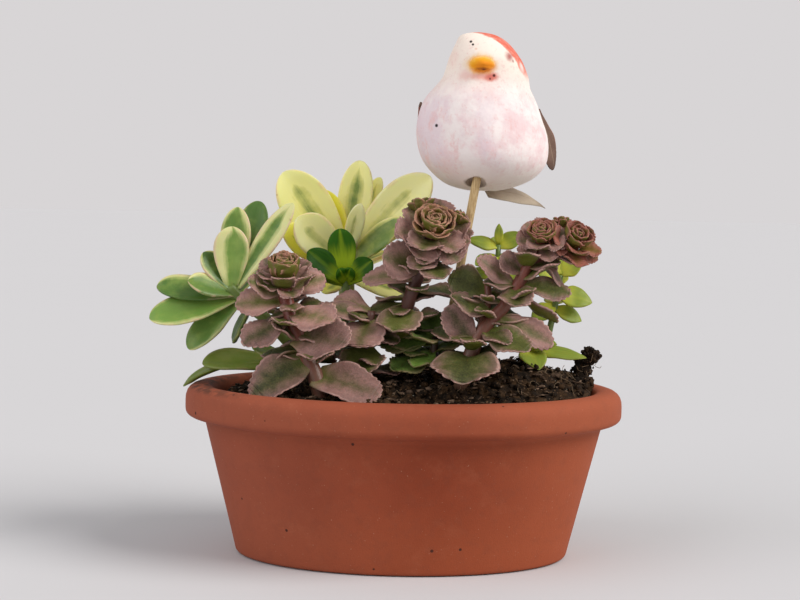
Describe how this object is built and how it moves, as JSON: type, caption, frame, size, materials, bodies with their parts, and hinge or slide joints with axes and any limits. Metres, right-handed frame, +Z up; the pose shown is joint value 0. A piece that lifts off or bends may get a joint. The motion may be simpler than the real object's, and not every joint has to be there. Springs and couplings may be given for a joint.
{
  "type": "potted succulent arrangement",
  "caption": "Oval terracotta pot of mixed succulents: purple scalloped stonecrops, cream and green rosettes and pointed green shoots, with a small bird ornament on a stick.",
  "frame": {"origin": "centre of the pot's flat base, on the surface it stands on", "axes": "+Z up, +X along the pot's long axis towards the viewer's right, -Y towards the viewer (front of the arrangement)"},
  "size_m": [0.1948, 0.13, 0.2157],
  "materials": {
    "terracotta": "matte unglazed fired clay, orange-brown, speckled",
    "potting_soil": "dark crumbly potting mix with bark chips and fibres",
    "purple_stonecrop": "dusty mauve to green-brown leaves with paler pink scalloped edges, satin",
    "green_stonecrop": "green stonecrop leaves, satin",
    "variegated_leaf": "blue-green leaves with cream edges, satin",
    "plain_green_leaf": "grass green leaves, satin",
    "cream_leaf": "cream and yellow leaves with green streaks, satin",
    "dark_green_leaf": "dark green leaves with a yellow-green base, satin",
    "pointed_green_leaf": "yellow-green pointed leaves, satin",
    "painted_foam": "light moulded foam, matte paint, white mottled with pink and lilac",
    "bamboo": "plain bamboo stick, matte",
    "painted_feather": "thin brown painted plate, matte"
  },
  "bodies": {
    "root": {"pot": "terracotta", "soil": "potting_soil", "purple_stem_left": "purple_stonecrop", "purple_stem_centre": "purple_stonecrop", "purple_stem_right": "purple_stonecrop", "purple_shoot_middle": "purple_stonecrop", "low_shoot_centre": "green_stonecrop", "variegated_rosette_left": "variegated_leaf", "low_shoot_left": "plain_green_leaf", "cream_rosette_back": "cream_leaf", "green_rosette_small": "dark_green_leaf", "green_shoot_middle": "pointed_green_leaf", "green_shoot_right": "pointed_green_leaf", "green_shoot_low": "pointed_green_leaf", "bird_body": "painted_foam", "bird_stick": "bamboo", "bird_wing_left": "painted_feather", "bird_wing_right": "painted_feather", "bird_tail": "painted_feather"}
  },
  "joints": []
}
